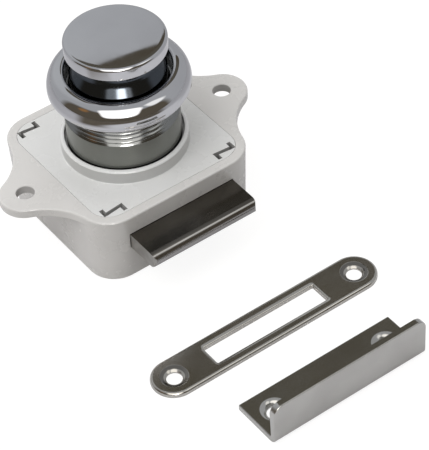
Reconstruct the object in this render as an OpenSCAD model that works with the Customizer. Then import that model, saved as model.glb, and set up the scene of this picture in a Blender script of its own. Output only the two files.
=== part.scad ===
// Pushbutton door latch with its two strikes.
// The case screws to the inner side of a door by its two ears. The barrel passes
// through the door, and the knob in it stands proud until it is pushed flush.
// Pushing the knob drives two cams down through the bolt slide, which draws the bolt.
// +Z runs along the knob, X along the ear screws, and the bolt leaves towards -Y.
// The origin is on the knob's axis, on the back face of the case.

/* [Case] */
// Width of the case at its door face
case_w = 43; // [42:0.5:48]
// Depth of the case at its door face
case_d = 43; // [43:0.5:48]
// Height of the case from its back face to its door face
case_h = 18; // [18:0.5:22]
// Corner radius of the case at its door face
corner_r = 7.5; // [6.5:0.5:9]
// How far each side wall leans in from door face to back face
draft = 0.7; // [0.2:0.1:1]
// Thickness of the side walls at the back face
wall_t = 2; // [1.6:0.1:2.2]
// Thickness of the back wall
floor_t = 2; // [1.4:0.1:2]

/* [Ears] */
// Distance between the two ear screw holes
ear_pitch = 54; // [52:0.5:60]
// Radius of the round end of an ear
ear_r = 6; // [5:0.5:7]
// Thickness of an ear
ear_t = 2.3; // [2:0.1:3]
// Diameter of an ear screw hole
ear_hole_d = 4.2; // [3:0.1:5]
// Radius of the hollow curve from an ear to a corner
ear_blend_r = 15; // [14:0.5:18]
// Radius of the fillet under an ear
ear_fillet_r = 3.5; // [2:0.5:4]

/* [Cover and collar] */
// Distance from the case's edge to the inlaid cover's edge
cover_inset = 2.3; // [2.2:0.1:2.6]
// Thickness of the inlaid cover
cover_t = 2; // [1.6:0.1:2.4]
// Width of the seam round the cover
seam = 0.15; // [0.1:0.05:0.3]
// Height of the collar above the door face
collar_h = 3.5; // [2:0.5:5]
// Wall of the collar
collar_wall = 1.5; // [1.2:0.1:1.6]
// Width of the Z-shaped relief cuts at the cover's corners
relief_w = 1; // [0.6:0.1:1]

/* [Barrel and rosette] */
// Outer diameter of the barrel, for a 26 mm door hole
barrel_d = 26; // [25.6:0.1:26.4]
// Wall of the barrel round its bore
barrel_wall = 1.2; // [1:0.05:1.3]
// Thickness of the door between the case and the clamp nut
door_t = 16; // [15:0.5:19]
// Height of the clamp nut's flange
nut_flange_h = 1.2; // [0.8:0.1:1.6]
// How far the clamp nut's flange stands out from the barrel
nut_flange_w = 2.6; // [2.2:0.1:3]
// How far the rosette stands out from the barrel
rosette_w = 3.1; // [2.8:0.1:4]
// Height of the rosette above the clamp nut's flange
rosette_h = 4.8; // [4.4:0.1:5.4]
// How far the rosette's opening lies inside the barrel's outer face
lip_inset = 1; // [0.8:0.05:1.1]

/* [Knob] */
// Gap round the knob's head in the rosette's opening
knob_gap = 0.5; // [0.4:0.1:1]
// Thickness of the knob's head at its rim
knob_head_t = 3.4; // [3:0.1:3.4]
// Gap between the knob's neck and the barrel's bore
neck_gap = 0.9; // [0.8:0.05:1.1]
// How far the knob travels from standing proud to flush
knob_travel = 8.5; // [8:0.1:8.6]

/* [Bolt] */
// Width of the bolt
bolt_w = 28; // [24:0.5:28]
// Thickness of the bolt
bolt_t = 4; // [3.6:0.1:4.2]
// How far the bolt stands out of the case at rest
bolt_out = 9; // [8.7:0.1:10]
// Height of the bolt's lower face above the back face
bolt_z = 9; // [8.9:0.05:9.1]

/* [Strike plate] */
// Distance between the strike plate's screw holes
plate_pitch = 49; // [46:0.5:54]
// Width of the strike plate
plate_w = 10.5; // [9.6:0.1:12]
// Thickness of the strike plate
plate_t = 1.25; // [1:0.05:2]
// Room at each end of the bolt in the plate's slot
slot_end_gap = 1; // [0.5:0.1:2]
// Room on each side of the bolt in the plate's slot
slot_side_gap = 0.75; // [0.5:0.05:1]
// Diameter of a screw hole in either strike
strike_hole_d = 3.6; // [3:0.1:4]
// Diameter of a screw hole's countersink in either strike
strike_sink_d = 6.4; // [5.6:0.1:7]

/* [Angle strike] */
// Length of the angle strike
angle_l = 40.5; // [36:0.5:48]
// Depth of the angle strike's base
angle_base = 12.6; // [11:0.1:15]
// Height of the angle strike's leg
angle_leg = 11; // [9:0.5:14]
// Thickness of the angle strike's sheet
angle_t = 1.5; // [1:0.1:2]
// Distance between the angle strike's screw holes
angle_pitch = 30; // [26:0.5:32]

/* [Springs] */
// Wire diameter of the knob spring
knob_wire = 0.6; // [0.4:0.05:0.6]
// Number of turns in the knob spring
knob_turns = 13; // [10:1:14]
// Wire diameter of a bolt spring
bolt_wire = 0.5; // [0.35:0.05:0.5]
// Number of turns in a bolt spring
bolt_turns = 10; // [8:1:11]

/* [Hidden] */
$fn = 96;
// A cut reaches this far past the face that it goes through
eps = 0.5;
// Radial clearance of a seated round piece
seat_gap = 0.05;
// Clearance beside a piece that slides
slide_gap = 0.15;
// Clearance between a piece and a wall that it doesn't touch
free_gap = 0.3;

// Case and cover
case_x = case_w / 2;
case_y = case_d / 2;
foot_edge = 0.4;
cavity_x = case_x - draft - wall_t;
cavity_y = case_y - draft - wall_t;
cavity_r = corner_r - draft - wall_t;
cover_x = case_x - cover_inset;
cover_y = case_y - cover_inset;
cover_r = corner_r - cover_inset;
cover_z = case_h - cover_t;
ear_z = case_h - ear_t;
ear_x = ear_pitch / 2;

// Snap hooks that hold the cover in the case
hook_y = 12;
hook_w = 4;
hook_l = 4.5;
hook_t = 1.2;
hook_gap = 0.1;
hook_catch = 0.7;
hook_catch_h = 1.5;
hook_z = cover_z - hook_l;

// Relief cuts: the outer leg, the bar and the inner leg lie this far from the cover's edges
relief_edge = 1.4;
relief_bar = 2;
relief_l = 4.4;
relief_leg_in = 1.8;
relief_leg_out = 1.5;
relief_slant = 0.4;

// Barrel: an open tube with a flange under the cover and a seat for the stop ring
barrel_r = barrel_d / 2;
bore_r = barrel_r - barrel_wall;
mouth_r = barrel_r - lip_inset;
flange_w = 1.2;
flange_t = 1.2;
flange_r = barrel_r + flange_w;
barrel_z = cover_z - flange_t;
thread_turns = 4;
thread_pitch = 1.25;
thread_depth = 0.45;
thread_drop = 6.1;
nut_z = case_h + door_t;
hub_h = 3.5;
hub_wall = 1.25;
hub_drop = 0.2;
barrel_top = nut_z + hub_h;
hub_r = barrel_r + seat_gap + hub_wall;
nut_flange_r = barrel_r + nut_flange_w;
rosette_r = barrel_r + rosette_w;
rosette_z = nut_z + nut_flange_h;
rim_z = rosette_z + rosette_h;

// Knob: its head lies just under the rosette's rim when it is pushed in
sink = 0.1;
knob_r = mouth_r - knob_gap;
knob_neck_r = bore_r - neck_gap;
knob_top = rim_z - sink + knob_travel;
head_z = knob_top - knob_head_t;
waist_depth = 1.8;
waist_r = knob_neck_r - waist_depth;
cone_h = 2.7;
cone_drop = 5.5;

// Stop ring: it lies in the barrel's mouth, and the plunger's shoulder meets it
ring_gap = 0.3;
ring_seat = 0.4;
ring_lift = 0.4;
ring_t = 1.6;
ring_r = knob_neck_r + ring_gap;
ring_seat_r = bore_r + ring_seat;
ring_z = nut_z + ring_lift;
shoulder_drop = 1;
shoulder_z = ring_z - shoulder_drop;
oring_r = 0.47;
oring_gap = 0.03;
oring_seat = 0.4;
oring_seat_r = knob_neck_r - oring_seat;

// Plunger: a skirt in the barrel's bore, with two cams below it
skirt_wall = 1.5;
skirt_lift = 0.5;
skirt_r = bore_r - free_gap;
skirt_z = cover_z + knob_travel + skirt_lift;
spigot_wall = 2.5;
spigot_r = knob_neck_r - spigot_wall;
spigot_h = 4;
web_t = 2;
plunger_hub_r = 4.4;
pocket_r = 3;
roof_t = 3.5;
roof_z = shoulder_z - roof_t;
cam_w = 3;
cam_inset_x = 3.5;
cam_inset_y = 3.9;
cam_tip_w = 1;
cam_lift = 2;
cam_x1 = skirt_r - cam_inset_x;
cam_x0 = cam_x1 - cam_w;
cam_tip_z = floor_t + knob_travel + skirt_lift;
cam_back_y = cam_inset_y - skirt_r;
cam_tip_y = cam_back_y + cam_tip_w;
cam_top_z = skirt_z - cam_lift;
cam_top_y = cam_tip_y + cam_top_z - cam_tip_z;
cam_gap = 0.14;

// Knob screw, its washer and the spring under them
screw_r = 1.5;
screw_l = 5;
screw_gap = 0.02;
screw_head_r = 2.7;
screw_head_h = 1.7;
screw_slot_w = 0.8;
screw_slot_h = 0.7;
washer_t = 0.6;
washer_hole_r = 1;
washer_gap = 0.1;
washer_z = roof_z - screw_head_h - washer_t;
knob_coil_r = 2.35;
knob_post_r = 1.7;
spring_well_r = knob_coil_r + knob_wire / 2 + free_gap;

// Bolt slide: a carriage on two rails, with a ramp behind each cam
slide_side = 0.8;
slide_end = 0.8;
slide_drop = 0.3;
slide_z0 = bolt_z - slide_drop;
slide_z1 = barrel_z - free_gap;
slide_x = bolt_w / 2 + slide_side;
slide_front = free_gap - cavity_y;
slide_back = cavity_y - knob_travel - slide_end;
rail_w = 1.9;
rail_fence = 1.4;
rail_x = slide_x - rail_w;

// The bolt's two legs and the pins that hold them in the slide
leg_wall = 1.4;
leg_inset = 0.6;
leg_l = 10.5;
pin_inset = 6.5;
pin_wall = 0.75;
pin_gap = 0.02;
leg_x0 = cam_x1 + leg_wall;
leg_x1 = bolt_w / 2 - leg_inset;
leg_back = slide_front + leg_l;
pin_x = (leg_x0 + leg_x1) / 2;
pin_y = slide_front + pin_inset;
pin_r = (leg_x1 - leg_x0) / 2 - pin_wall;

// Bolt springs, from a pocket in the slide to a post on the case's wall
spring_inset = 4;
spring_x = slide_x - spring_inset;
spring_z = (slide_z0 + slide_z1) / 2;
bolt_coil_r = 1.75;
bolt_pocket_r = 2.2;
bolt_pocket_y = 2.5;
post_gap = 0.25;
post_l = 3.8;

// Strikes: they lie in front of the case, where the bolt points
slot_l = bolt_w + 2 * slot_end_gap;
slot_w = bolt_t + 2 * slot_side_gap;
plate_gap = 21.5;
plate_side = -0.6;
plate_y = -case_y - bolt_out - plate_gap;
plate_x1 = plate_pitch / 2;
plate_round = 0.4;
sink_land = 0.45;
angle_gap = 21.6;
angle_side = 0.7;
angle_y = plate_y - angle_gap;
angle_bend = 1.8;
angle_top_r = 2.5;
angle_hole_y = 0.6;

// Points on an arc of radius r about c, from angle a to angle b
function arc(c, r, a, b, n = 10) =
  [for (i = [0:n]) c + r * [cos(a + (b - a) * i / n), sin(a + (b - a) * i / n)]];

// A rounded rectangle of half sizes x and y
function rounded(x, y, r) = concat(
  arc([x - r, y - r], r, 0, 90), arc([r - x, y - r], r, 90, 180),
  arc([r - x, r - y], r, 180, 270), arc([x - r, r - y], r, 270, 360));

module slab(points, z0, z1) {
  translate([0, 0, z0]) linear_extrude(z1 - z0) polygon(points);
}

module box(x0, x1, y0, y1, z0, z1) {
  translate([x0, y0, z0]) cube([x1 - x0, y1 - y0, z1 - z0]);
}

module rod(r, z0, z1) {
  translate([0, 0, z0]) cylinder(r = r, h = z1 - z0);
}

// Both sides of the part, left and right
module both_sides() {
  children();
  mirror([1, 0, 0]) children();
}

// A solid that leans in from its top to its foot, as four cones and two wedges
module drafted_block(x, y, r, lean, h) {
  for (sx = [-1, 1], sy = [-1, 1])
    translate([sx * (x - r), sy * (y - r), 0]) cylinder(r1 = r - lean, r2 = r, h = h);
  rotate([90, 0, 0]) linear_extrude(2 * (y - r), center = true)
    polygon([[lean - x, 0], [x - lean, 0], [x, h], [-x, h]]);
  rotate([90, 0, 90]) linear_extrude(2 * (x - r), center = true)
    polygon([[lean - y, 0], [y - lean, 0], [y, h], [-y, h]]);
}

// Centre of the hollow curve that touches both the ear's end and the case's corner
corner_c = [case_x - corner_r, case_y - corner_r];
ear_c = [ear_x, 0];
from_ear = ear_r + ear_blend_r;
from_corner = corner_r + ear_blend_r;
span = norm(corner_c - ear_c);
along = (from_ear * from_ear - from_corner * from_corner + span * span) / (2 * span);
aside = sqrt(from_ear * from_ear - along * along);
span_dir = (corner_c - ear_c) / span;
blend_c = ear_c + along * span_dir + aside * [span_dir.y, -span_dir.x];
ear_dir = atan2(blend_c.y - ear_c.y, blend_c.x - ear_c.x);
corner_dir = atan2(blend_c.y - corner_c.y, blend_c.x - corner_c.x);

// Outline of one ear, from the case's corner round its end to the other corner
ear_points = concat(
  arc(ear_c, ear_r, -ear_dir, ear_dir, 20),
  arc(blend_c, ear_blend_r, ear_dir + 180, corner_dir + 180, 14),
  [[case_x - corner_r, case_y - corner_r], [case_x - corner_r, corner_r - case_y]],
  [for (p = arc(blend_c, ear_blend_r, corner_dir + 180, ear_dir + 180, 14)) [p.x, -p.y]]);

// A hollow curve from the case's leaning side to the ear's under side
module ear_fillet() {
  lean = atan(draft / case_h);
  mid_z = ear_z - ear_fillet_r;
  wall_x = case_x - draft * (1 - mid_z / case_h);
  c = [wall_x + ear_fillet_r / cos(lean), mid_z];
  rotate([90, 0, 0]) linear_extrude(2 * case_y, center = true)
    polygon(concat([[wall_x - wall_t, case_h], [wall_x - wall_t, mid_z]],
                   arc(c, ear_fillet_r, 180 - lean, 90, 8), [[c.x, case_h]]));
}

// One ear, with the fillet under it kept inside its outline
module ear() {
  slab(ear_points, ear_z, case_h);
  intersection() {
    ear_fillet();
    slab(ear_points, 0, case_h);
  }
}

// The leaning body of the case, with an edge broken round its foot
module body_block() {
  lean = draft * (1 - foot_edge / case_h);
  translate([0, 0, foot_edge])
    drafted_block(case_x, case_y, corner_r, lean, case_h - foot_edge);
  drafted_block(case_x - lean, case_y - lean, corner_r - lean, foot_edge, foot_edge);
}

// Rails that carry the slide and guide its edges
module rails() {
  fence_x = slide_x + slide_gap;
  fence_z = slide_z1 - rail_fence;
  rail_z = slide_z0 - seat_gap;
  rotate([90, 0, 0]) linear_extrude(2 * (cavity_y + eps), center = true)
    polygon([[rail_x, floor_t - eps], [fence_x + rail_fence, floor_t - eps],
             [fence_x + rail_fence, fence_z], [fence_x, fence_z],
             [fence_x, rail_z], [rail_x, rail_z]]);
}

module bolt_spring_post() {
  post_r = bolt_coil_r - bolt_wire / 2 - post_gap;
  translate([spring_x, cavity_y + eps, spring_z]) rotate([90, 0, 0])
    cylinder(r = post_r, h = eps + post_l);
}

// The moulded case: a tray with two ears, open towards the door
module case() {
  catch_x = cavity_x + hook_catch + slide_gap;
  catch_y = hook_w / 2 + free_gap;
  bolt_x = bolt_w / 2 + slide_gap;
  color("whitesmoke") difference() {
    union() {
      difference() {
        union() {
          body_block();
          both_sides() ear();
        }
        slab(rounded(cavity_x, cavity_y, cavity_r), floor_t, case_h + eps);
        slab(rounded(cover_x + seam, cover_y + seam, cover_r + seam), cover_z, case_h + eps);
      }
      both_sides() {
        rails();
        bolt_spring_post();
      }
      rod(knob_post_r, floor_t - eps, slide_z0);
    }
    box(-bolt_x, bolt_x, -case_y - eps, -cavity_y + eps,
        bolt_z - slide_gap, bolt_z + bolt_t + slide_gap);
    both_sides() {
      translate([ear_x, 0, 0]) rod(ear_hole_d / 2, -eps, case_h + eps);
      for (s = [-1, 1])
        box(cavity_x - eps, catch_x, s * hook_y - catch_y, s * hook_y + catch_y,
            hook_z - slide_gap, hook_z + hook_catch_h + hook_gap);
    }
  }
}

// One snap hook under the cover, with its slanted catch
module hook() {
  face_x = cavity_x - hook_gap;
  catch_x = face_x + hook_catch;
  catch_z = hook_z + hook_catch_h;
  rotate([90, 0, 0]) linear_extrude(hook_w, center = true)
    polygon([[face_x - hook_t, cover_z + eps], [face_x - hook_t, hook_z], [face_x, hook_z],
             [catch_x, catch_z - hook_catch], [catch_x, catch_z], [face_x, catch_z],
             [face_x, cover_z + eps]]);
}

// One Z-shaped relief cut, as a bar with a short leg at each end
module relief() {
  half = relief_w / 2;
  leg_x = relief_edge - cover_x;
  end_x = leg_x + relief_l;
  bar_y = relief_bar - cover_y;
  end_y = bar_y + relief_slant;
  slab([[leg_x, bar_y - half], [leg_x, bar_y + relief_leg_in],
        [leg_x + relief_w, bar_y + relief_leg_in], [leg_x + relief_w, bar_y + half],
        [end_x + relief_w, end_y + half], [end_x + relief_w, bar_y - relief_leg_out],
        [end_x, bar_y - relief_leg_out], [end_x, end_y - half],
        [leg_x + relief_w, bar_y - half]],
       cover_z - eps, case_h + eps);
}

// The inlaid cover, whose collar holds the barrel
module cover() {
  collar_r = barrel_r + seat_gap + collar_wall;
  collar_top = case_h + collar_h;
  root_r = 1;
  tip_r = 0.4;
  core_r = barrel_r - eps;
  color("white") difference() {
    union() {
      slab(rounded(cover_x, cover_y, cover_r), cover_z, case_h);
      rotate_extrude() polygon(concat(
        [[core_r, cover_z], [collar_r + root_r, cover_z], [collar_r + root_r, case_h]],
        arc([collar_r + root_r, case_h + root_r], root_r, 270, 180, 6),
        arc([collar_r - tip_r, collar_top - tip_r], tip_r, 0, 90, 4),
        [[core_r, collar_top]]));
      both_sides() for (s = [-1, 1]) translate([0, s * hook_y, 0]) hook();
    }
    rod(barrel_r + seat_gap, cover_z - eps, collar_top + eps);
    for (turn = [0, 180]) rotate(turn) {
      relief();
      mirror([1, 0, 0]) relief();
    }
  }
}

// Points of one thread turn's groove, upward from height z
function groove(z) =
  [for (p = [[0, 0], [1, 0.3], [1, 0.7], [0, 0.9]])
    [barrel_r - p.x * thread_depth, z + p.y * thread_pitch]];

// The barrel: a tube with thread turns, a foot flange, a stop ring's seat and a slotted web
module barrel() {
  thread_z = nut_z - thread_drop;
  color("silver") difference() {
    rotate_extrude() polygon(concat(
      [[0, barrel_z], [flange_r, barrel_z], [flange_r, cover_z], [barrel_r, cover_z]],
      [for (i = [0:thread_turns - 1], p = groove(thread_z + i * thread_pitch)) p],
      [[barrel_r, barrel_top], [ring_seat_r, barrel_top], [ring_seat_r, ring_z],
       [bore_r, ring_z], [bore_r, cover_z], [0, cover_z]]));
    rod(spring_well_r, barrel_z - eps, cover_z + eps);
    both_sides() box(cam_x0 - slide_gap, cam_x1 + slide_gap, cam_back_y - slide_gap,
                     cam_top_y + slide_gap, barrel_z - eps, cover_z + eps);
  }
}

// The ring in the barrel's mouth that stops the plunger
module stop_ring() {
  edge = 0.3;
  outer_r = ring_seat_r - seat_gap;
  color("gray") rotate_extrude() polygon([
    [ring_r, ring_z], [outer_r, ring_z], [outer_r, ring_z + ring_t],
    [ring_r + edge, ring_z + ring_t], [ring_r, ring_z + ring_t - edge]]);
}

// The clamp nut that draws the barrel against the door
module clamp_nut() {
  edge = 0.25;
  bore = barrel_r + seat_gap;
  hub_z = barrel_top - hub_drop;
  color("gainsboro") rotate_extrude() polygon([
    [bore, nut_z], [nut_flange_r - edge, nut_z], [nut_flange_r, nut_z + edge],
    [nut_flange_r, rosette_z - edge], [nut_flange_r - edge, rosette_z], [hub_r, rosette_z],
    [hub_r, hub_z], [bore, hub_z]]);
}

// The rosette: a bulged ring pressed over the clamp nut's hub
module rosette() {
  lip_r = 0.7;
  bulge_z = 0.5;
  crown_r = mouth_r + lip_r;
  half_w = rosette_r - crown_r;
  half_h = rosette_h - bulge_z;
  // The bulge's curve starts where it meets the clamp nut's flange
  start = -asin(bulge_z / half_h);
  color("silver") rotate_extrude() polygon(concat(
    [[hub_r + seat_gap, rosette_z]],
    arc_oval([crown_r, rim_z - half_h], half_w, half_h, start, 90, 16),
    arc([crown_r, rim_z - lip_r], lip_r, 90, 180, 6),
    [[mouth_r, barrel_top + seat_gap], [hub_r + seat_gap, barrel_top + seat_gap]]));
}

function arc_oval(c, w, h, a, b, n) =
  [for (i = [0:n]) c + [w * cos(a + (b - a) * i / n), h * sin(a + (b - a) * i / n)]];

// The knob: a flat head on a cone that widens to the neck, with a seat for the rubber ring
module knob() {
  edge_r = 0.8;
  under_r = 0.4;
  fillet_r = 1;
  hollow_top = shoulder_z + spigot_h + free_gap;
  cone_z = head_z - cone_drop;
  color("silver") difference() {
    rotate_extrude() polygon(concat(
      [[0, shoulder_z], [oring_seat_r, shoulder_z], [oring_seat_r, ring_z],
       [knob_neck_r, ring_z + oring_seat], [knob_neck_r, cone_z], [waist_r, cone_z + cone_h]],
      arc([waist_r + fillet_r, head_z - fillet_r], fillet_r, 180, 90, 4),
      arc([knob_r - under_r, head_z + under_r], under_r, 270, 360, 3),
      arc([knob_r - edge_r, knob_top - edge_r], edge_r, 0, 90, 6), [[0, knob_top]]));
    rod(spigot_r + seat_gap, shoulder_z - eps, hollow_top);
    rod(screw_r, hollow_top - eps, hollow_top + screw_l);
  }
}

// The rubber ring that softens the knob's stop
module knob_ring() {
  color("dimgray") rotate_extrude()
    translate([oring_seat_r + oring_r + oring_gap, ring_z - oring_r - oring_gap])
      circle(oring_r, $fn = 24);
}

// The plunger: skirt, hub, spigot and two cams in one moulding
module plunger() {
  color("darkslategray") difference() {
    union() {
      difference() {
        rod(skirt_r, skirt_z, shoulder_z);
        rod(skirt_r - skirt_wall, skirt_z - eps, shoulder_z - web_t);
      }
      rod(spigot_r, shoulder_z - web_t, shoulder_z + spigot_h);
      rod(plunger_hub_r, skirt_z, shoulder_z);
      both_sides() translate([cam_x0, 0, 0]) rotate([90, 0, 90])
        linear_extrude(cam_x1 - cam_x0) polygon([
          [cam_back_y, cam_tip_z], [cam_tip_y, cam_tip_z], [cam_top_y, cam_top_z],
          [cam_top_y, shoulder_z - web_t + eps], [cam_back_y, shoulder_z - web_t + eps]]);
    }
    rod(pocket_r, skirt_z - eps, roof_z);
    rod(screw_r + seat_gap, roof_z - eps, shoulder_z + spigot_h + eps);
  }
}

// The screw that holds the knob on the plunger
module knob_screw() {
  head_z0 = roof_z - screw_head_h;
  reach = screw_head_r + eps;
  color("gray") difference() {
    union() {
      rod(screw_head_r, head_z0, roof_z);
      rod(screw_r - screw_gap, roof_z - seat_gap, shoulder_z + spigot_h + screw_l);
    }
    box(-screw_slot_w / 2, screw_slot_w / 2, -reach, reach,
        head_z0 - eps, head_z0 + screw_slot_h);
  }
}

// The washer between the screw's head and the knob spring
module spring_washer() {
  color("gainsboro") difference() {
    rod(pocket_r - washer_gap, washer_z, washer_z + washer_t);
    rod(washer_hole_r, washer_z - eps, washer_z + washer_t + eps);
  }
}

// A wound spring from z = 0 to z = h, as one tube of six sides with eight rings a turn.
// Its end turns lie closer than the working turns between them.
sides = 6;
rings = 8;
end_turns = 1;
coil_gap = 0.45;
function climb(t, turns, wire, h) =
  let (close = wire + coil_gap, open = (h - wire - 2 * end_turns * close) / (turns - 2 * end_turns))
  wire / 2 + (t < end_turns ? t * close
    : t < turns - end_turns ? end_turns * close + (t - end_turns) * open
    : h - wire - (turns - t) * close);
function coil_path(r, turns, wire, h) =
  [for (i = [0:turns * rings])
    [r * cos(360 * i / rings), r * sin(360 * i / rings), climb(i / rings, turns, wire, h)]];
// Corners of ring i, square to the turn, so that both ends are flat
function coil_ring(path, i, wire) =
  let (a = 360 * i / rings)
  [for (k = [0:sides - 1]) let (b = 360 * k / sides + 30)
    path[i] + wire / 2 * [cos(b) * cos(a), cos(b) * sin(a), sin(b)]];
module coil(r, turns, wire, h) {
  path = coil_path(r, turns, wire, h);
  n = turns * rings;
  points = [for (i = [0:n], p = coil_ring(path, i, wire)) p];
  first = [for (k = [0:sides - 1]) k];
  last = [for (k = [0:sides - 1]) n * sides + sides - 1 - k];
  walls = [for (i = [0:n - 1], k = [0:sides - 1])
    let (a = i * sides + k, b = i * sides + (k + 1) % sides)
    each [[a, a + sides, b], [b, a + sides, b + sides]]];
  polyhedron(points, concat([first], walls, [last]));
  gap = min([for (i = [0:n - rings]) norm(path[i + rings] - path[i])]) - wire;
  echo("least gap of a coil to itself", gap);
}

module knob_spring() {
  color("lightgray") translate([0, 0, floor_t])
    coil(knob_coil_r, knob_turns, knob_wire, washer_z - floor_t);
}

module bolt_spring() {
  h = cavity_y - bolt_pocket_y;
  translate([spring_x, cavity_y, spring_z]) rotate([90, 0, 0])
    coil(bolt_coil_r, bolt_turns, bolt_wire, h);
}

module right_bolt_spring() {
  color("lightgray") bolt_spring();
}

module left_bolt_spring() {
  color("lightgray") mirror([1, 0, 0]) bolt_spring();
}

// The bolt: a flat tongue with a round nose, on two legs that the slide holds
module bolt() {
  nose_r = bolt_t / 2;
  tip_y = -case_y - bolt_out;
  root_y = slide_front - seat_gap;
  plan_r = 1.2;
  hx = bolt_w / 2;
  color("silver") difference() {
    union() {
      intersection() {
        union() {
          box(-hx, hx, tip_y + nose_r, root_y, bolt_z, bolt_z + bolt_t);
          translate([-hx, tip_y + nose_r, bolt_z + nose_r]) rotate([0, 90, 0])
            cylinder(r = nose_r, h = bolt_w);
        }
        slab(concat(arc([plan_r - hx, tip_y + plan_r], plan_r, 180, 270, 5),
                    arc([hx - plan_r, tip_y + plan_r], plan_r, 270, 360, 5),
                    [[hx, root_y], [-hx, root_y]]), bolt_z - eps, bolt_z + bolt_t + eps);
      }
      both_sides() box(leg_x0, leg_x1, root_y - eps, leg_back, bolt_z, bolt_z + bolt_t);
    }
    both_sides() translate([pin_x, pin_y, 0])
      rod(pin_r + pin_gap, bolt_z - eps, bolt_z + bolt_t + eps);
  }
}

// The slide: it holds the bolt's legs, and the cams push its ramps back
module bolt_slide() {
  gap = seat_gap;
  ramp = cam_tip_y - cam_tip_z + cam_gap;
  z0 = slide_z0 - eps;
  z1 = slide_z1 + eps;
  front_y = cam_back_y - knob_travel - free_gap;
  color("lightsteelblue") difference() {
    box(-slide_x, slide_x, slide_front, slide_back, slide_z0, slide_z1);
    both_sides() {
      box(leg_x0 - gap, leg_x1 + gap, slide_front - eps, leg_back + gap,
          bolt_z - gap, bolt_z + bolt_t + gap);
      translate([pin_x, pin_y, 0]) rod(pin_r + pin_gap, z0, z1);
      translate([cam_x0 - free_gap, 0, 0]) rotate([90, 0, 90])
        linear_extrude(cam_x1 - cam_x0 + 2 * free_gap)
          polygon([[front_y, z0], [ramp + z0, z0], [ramp + z1, z1], [front_y, z1]]);
      translate([spring_x, slide_back + eps, spring_z]) rotate([90, 0, 0])
        cylinder(r = bolt_pocket_r, h = slide_back + eps - bolt_pocket_y);
    }
    box(-spring_well_r, spring_well_r, -spring_well_r - knob_travel, spring_well_r, z0, z1);
  }
}

// A pin that joins one of the bolt's legs to the slide
module right_bolt_pin() {
  color("gray") translate([pin_x, pin_y, 0]) rod(pin_r, slide_z0, slide_z1);
}

module left_bolt_pin() {
  mirror([1, 0, 0]) right_bolt_pin();
}

// A screw hole with its countersink, from the lower face at z = 0 up to z = t
module sunk_hole(t) {
  grow = (strike_sink_d - strike_hole_d) / (t - sink_land);
  translate([0, 0, -eps]) cylinder(d = strike_hole_d, h = t + 2 * eps);
  translate([0, 0, sink_land])
    cylinder(d1 = strike_hole_d, d2 = strike_sink_d + grow * eps, h = t - sink_land + eps);
}

// The strike plate that is let into the frame
module strike_plate() {
  r = plate_w / 2;
  color("silver") translate([plate_side, plate_y, 0]) difference() {
    union() {
      for (s = [-1, 1]) translate([s * plate_x1, 0, 0]) {
        cylinder(r = r, h = plate_t - plate_round);
        translate([0, 0, plate_t - plate_round])
          cylinder(r1 = r, r2 = r - plate_round, h = plate_round);
      }
      rotate([90, 0, 90]) linear_extrude(plate_pitch, center = true)
        polygon([[-r, 0], [r, 0], [r, plate_t - plate_round], [r - plate_round, plate_t],
                 [plate_round - r, plate_t], [-r, plate_t - plate_round]]);
    }
    box(-slot_l / 2, slot_l / 2, -slot_w / 2, slot_w / 2, -eps, plate_t + eps);
    for (s = [-1, 1]) translate([s * plate_x1, 0, 0]) sunk_hole(plate_t);
  }
}

// The angle strike that is screwed on the frame's surface
module angle_strike() {
  y0 = -angle_base / 2;
  y1 = angle_base / 2;
  inner = angle_bend - angle_t;
  hx = angle_l / 2;
  top_x = hx - angle_top_r;
  top_z = angle_leg - angle_top_r;
  color("silver") translate([angle_side, angle_y, 0]) difference() {
    intersection() {
      rotate([90, 0, 90]) linear_extrude(angle_l, center = true) polygon(concat(
        arc([y0 + angle_bend, angle_bend], angle_bend, 270, 180, 6),
        [[y0, angle_leg], [y0 + angle_t, angle_leg]],
        arc([y0 + angle_bend, angle_bend], inner, 180, 270, 4),
        [[y1, angle_t], [y1, 0]]));
      translate([0, y1 + eps, 0]) rotate([90, 0, 0]) linear_extrude(angle_base + 2 * eps)
        polygon(concat([[-hx, -eps], [hx, -eps]],
                       arc([top_x, top_z], angle_top_r, 0, 90, 6),
                       arc([-top_x, top_z], angle_top_r, 90, 180, 6)));
    }
    for (s = [-1, 1]) translate([s * angle_pitch / 2, angle_hole_y, 0]) sunk_hole(angle_t);
  }
}

case();
cover();
barrel();
stop_ring();
clamp_nut();
rosette();
knob();
knob_ring();
plunger();
knob_screw();
spring_washer();
knob_spring();
bolt();
bolt_slide();
left_bolt_pin();
right_bolt_pin();
left_bolt_spring();
right_bolt_spring();
strike_plate();
angle_strike();
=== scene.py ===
"""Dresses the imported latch: its case, chromed stack, bolt and two strikes, in soft studio light."""
import math

import bmesh
import bpy
from mathutils import Matrix, Vector


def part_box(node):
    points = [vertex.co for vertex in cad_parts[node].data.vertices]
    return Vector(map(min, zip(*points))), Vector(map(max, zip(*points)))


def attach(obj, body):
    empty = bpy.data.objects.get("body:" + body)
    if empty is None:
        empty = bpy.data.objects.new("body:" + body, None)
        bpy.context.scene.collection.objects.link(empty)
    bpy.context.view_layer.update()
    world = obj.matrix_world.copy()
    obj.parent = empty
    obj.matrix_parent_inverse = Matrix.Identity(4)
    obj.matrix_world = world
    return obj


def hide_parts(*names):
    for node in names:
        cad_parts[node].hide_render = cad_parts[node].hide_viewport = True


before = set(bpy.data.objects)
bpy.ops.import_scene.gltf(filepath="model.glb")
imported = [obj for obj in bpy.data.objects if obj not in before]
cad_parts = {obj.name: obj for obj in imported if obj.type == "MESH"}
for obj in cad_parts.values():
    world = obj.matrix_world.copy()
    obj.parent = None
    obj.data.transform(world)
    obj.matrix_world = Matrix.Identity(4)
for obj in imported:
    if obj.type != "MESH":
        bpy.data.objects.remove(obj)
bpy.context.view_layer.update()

# Sizes in millimetres, the same ones that the CAD model is built from
CORNER_R = 7.5
DRAFT = 0.7
WALL = 2.0
FLOOR = 2.0
EAR_T = 2.3
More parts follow.
